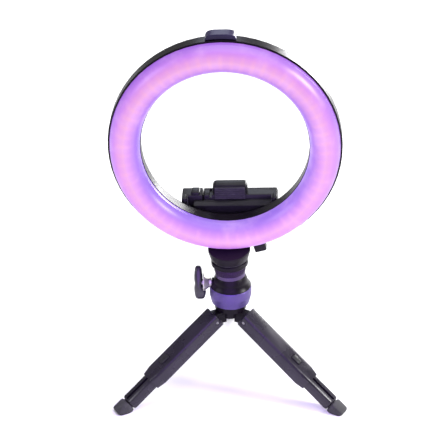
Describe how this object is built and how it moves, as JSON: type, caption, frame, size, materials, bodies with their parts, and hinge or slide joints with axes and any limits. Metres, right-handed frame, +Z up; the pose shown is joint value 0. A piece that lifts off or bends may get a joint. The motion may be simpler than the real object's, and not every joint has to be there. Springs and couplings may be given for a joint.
{
  "type": "ring light",
  "caption": "Tabletop ring light: frosted annular lamp with a phone clamp, on a ball head and folding tripod.",
  "frame": {"origin": "centre of the bounding box at the floor, on the plane of the three feet", "axes": "+Z up along the tripod's axis, +Y to the back along the rear leg, +X to the right as the lamp is seen from the front"},
  "size_m": [0.2098, 0.1801, 0.3413],
  "materials": {
    "casing": "satin moulded black",
    "trim": "satin moulded black",
    "diffuser": "frosted, lit from inside in violet",
    "board_white": "white solder mask",
    "board_green": "green solder mask",
    "steel": "zinc plated",
    "stem_steel": "turned",
    "brass": "knurled insert",
    "rubber": "matte",
    "ring_silver": "anodised satin",
    "collar_silver": "anodised satin",
    "nylon_black": "polished",
    "nylon_white": "natural",
    "lead": "insulated wire",
    "spring": "spring wire",
    "leg_black": "satin black"
  },
  "bodies": {
    "stand": {"ball_housing": "trim", "head_base": "collar_silver", "ball_seat": "nylon_white", "hub": "trim", "centre_bolt": "steel", "leg_pin_1": "steel", "leg_pin_2": "steel", "leg_pin_3": "steel"},
    "lock_knob": {"knob_screw": "steel", "knob_wing": "trim"},
    "ball": {"ball": "nylon_black"},
    "stem": {"ball_stem": "stem_steel", "stem_skirt": "trim"},
    "lock_ring": {"lock_ring": "ring_silver"},
    "head": {"platform": "trim", "platform_pad": "rubber", "head_stud": "steel", "foot_insert": "brass", "ring_foot": "trim", "rear_casing": "casing", "diffuser": "diffuser", "led_board": "board_white", "driver_board": "board_green", "top_cap": "trim", "inlet_housing": "trim", "inlet_socket": "steel", "inlet_lead": "lead", "casing_screw_1": "steel", "casing_screw_2": "steel", "casing_screw_3": "steel", "casing_screw_4": "steel", "holder_bracket": "trim", "bracket_screw_1": "steel", "bracket_screw_2": "steel"},
    "knuckle": {"holder_knuckle": "trim"},
    "tilt_knob": {"tilt_knob": "trim", "tilt_bolt": "steel"},
    "clamp": {"clamp_body": "trim", "clamp_cover": "trim", "back_pad": "rubber", "fixed_jaw_pad": "rubber", "swivel_screw": "steel", "jaw_spring_1": "spring", "jaw_spring_2": "spring"},
    "jaw": {"sliding_jaw": "trim", "jaw_pad": "rubber", "guide_rods": "steel"},
    "leg_1": {"leg_upper_1": "leg_black"},
    "leg_slider_1": {"leg_lower_1": "leg_black", "foot_1": "rubber"},
    "leg_button_1": {"leg_button_1": "leg_black"},
    "leg_2": {"leg_upper_2": "leg_black"},
    "leg_slider_2": {"leg_lower_2": "leg_black", "foot_2": "rubber"},
    "leg_button_2": {"leg_button_2": "leg_black"},
    "leg_3": {"leg_upper_3": "leg_black"},
    "leg_slider_3": {"leg_lower_3": "leg_black", "foot_3": "rubber"},
    "leg_button_3": {"leg_button_3": "leg_black"}
  },
  "joints": [
    {"name": "lock_knob_turn", "type": "hinge", "parent": "stand", "child": "lock_knob", "pos_m": [-0.02, -0.02672, 0.1004], "axis": [1, 0, 0], "continuous": true},
    {"name": "ball_tilt", "type": "hinge", "parent": "stand", "child": "ball", "pos_m": [0, -0.02672, 0.1004], "axis": [1, 0, 0], "range_deg": [-18, 17]},
    {"name": "ball_lean", "type": "hinge", "parent": "ball", "child": "stem", "pos_m": [0, -0.02672, 0.1004], "axis": [0, 1, 0], "range_deg": [-8, 18]},
    {"name": "lock_ring_turn", "type": "hinge", "parent": "stem", "child": "lock_ring", "pos_m": [-0.00058, -0.02691, 0.11539], "axis": [-0.0389, -0.0125, 0.9992], "continuous": true},
    {"name": "head_turn", "type": "hinge", "parent": "stem", "child": "head", "pos_m": [-0.00078, -0.02697, 0.12038], "axis": [-0.0389, -0.0125, 0.9992], "continuous": true},
    {"name": "holder_tilt", "type": "hinge", "parent": "head", "child": "knuckle", "pos_m": [-0.00005, 0.01966, 0.14802], "axis": [-0.9985, 0.0384, -0.0384], "range_deg": [-2.5, 40]},
    {"name": "tilt_knob_turn", "type": "hinge", "parent": "head", "child": "tilt_knob", "pos_m": [0.00994, 0.01927, 0.1484], "axis": [0.9985, -0.0384, 0.0384], "continuous": true},
    {"name": "clamp_swivel", "type": "hinge", "parent": "knuckle", "child": "clamp", "pos_m": [-0.00098, 0.01936, 0.172], "axis": [0.0378, 0.9992, 0.014], "range_deg": [-12, 12]},
    {"name": "jaw_slide", "type": "slide", "parent": "clamp", "child": "jaw", "axis": [-0.9985, 0.0384, -0.0384], "range_m": [0, 0.016], "stiffness_N_per_m": 150, "springref_m": -0.02, "deforming": ["jaw_spring_1", "jaw_spring_2"]},
    {"name": "leg_fold_1", "type": "hinge", "parent": "stand", "child": "leg_1", "pos_m": [0, -0.00872, 0.06795], "axis": [-1, 0, 0], "range_deg": [0, 54.3]},
    {"name": "leg_slide_1", "type": "slide", "parent": "leg_1", "child": "leg_slider_1", "axis": [0, 0.8121, -0.5835], "range_m": [-0.026, 0]},
    {"name": "leg_button_press_1", "type": "slide", "parent": "leg_1", "child": "leg_button_1", "axis": [0, -0.5835, -0.8121], "range_m": [0, 0.0007], "stiffness_N_per_m": 800, "springref_m": -0.0005},
    {"name": "leg_fold_2", "type": "hinge", "parent": "stand", "child": "leg_2", "pos_m": [-0.01559, -0.03572, 0.06795], "axis": [0.5, -0.866, 0], "range_deg": [0, 54.3]},
    {"name": "leg_slide_2", "type": "slide", "parent": "leg_2", "child": "leg_slider_2", "axis": [-0.7033, -0.406, -0.5835], "range_m": [-0.026, 0]},
    {"name": "leg_button_press_2", "type": "slide", "parent": "leg_2", "child": "leg_button_2", "axis": [0.5054, 0.2918, -0.8121], "range_m": [0, 0.0007], "stiffness_N_per_m": 800, "springref_m": -0.0005},
    {"name": "leg_fold_3", "type": "hinge", "parent": "stand", "child": "leg_3", "pos_m": [0.01559, -0.03572, 0.06795], "axis": [0.5, 0.866, 0], "range_deg": [0, 54.3]},
    {"name": "leg_slide_3", "type": "slide", "parent": "leg_3", "child": "leg_slider_3", "axis": [0.7033, -0.406, -0.5835], "range_m": [-0.026, 0]},
    {"name": "leg_button_press_3", "type": "slide", "parent": "leg_3", "child": "leg_button_3", "axis": [-0.5054, 0.2918, -0.8121], "range_m": [0, 0.0007], "stiffness_N_per_m": 800, "springref_m": -0.0005}
  ]
}
